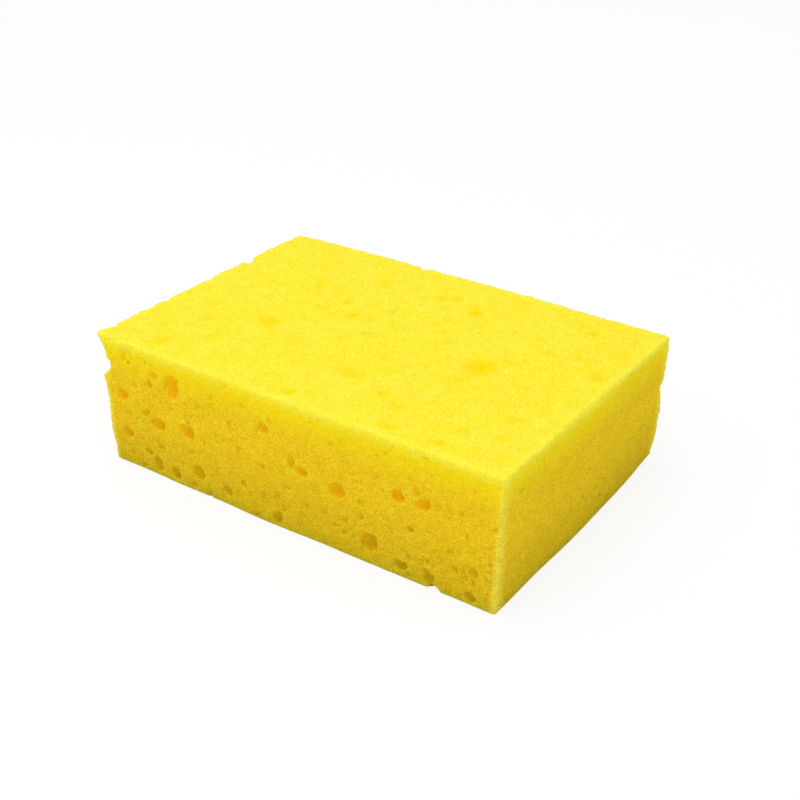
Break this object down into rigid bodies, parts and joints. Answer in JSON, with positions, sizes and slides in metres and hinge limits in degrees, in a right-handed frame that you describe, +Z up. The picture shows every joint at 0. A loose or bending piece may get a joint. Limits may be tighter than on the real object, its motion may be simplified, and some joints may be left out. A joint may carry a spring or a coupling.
{
  "type": "bath sponge",
  "caption": "Rectangular bath sponge: a block of open-cell foam with softly rounded edges, a fine-grained top and larger opened bubbles in its cut sides.",
  "frame": {"origin": "centre of the flat underside that the sponge lies on", "axes": "+X along the long side to the right end, +Y through the depth to the back, +Z up"},
  "size_m": [0.1498, 0.102, 0.0455],
  "materials": {
    "foam": "open-cell polyurethane foam, dyed yellow all through, matt"
  },
  "bodies": {
    "root": {"sponge": "foam"}
  },
  "joints": []
}
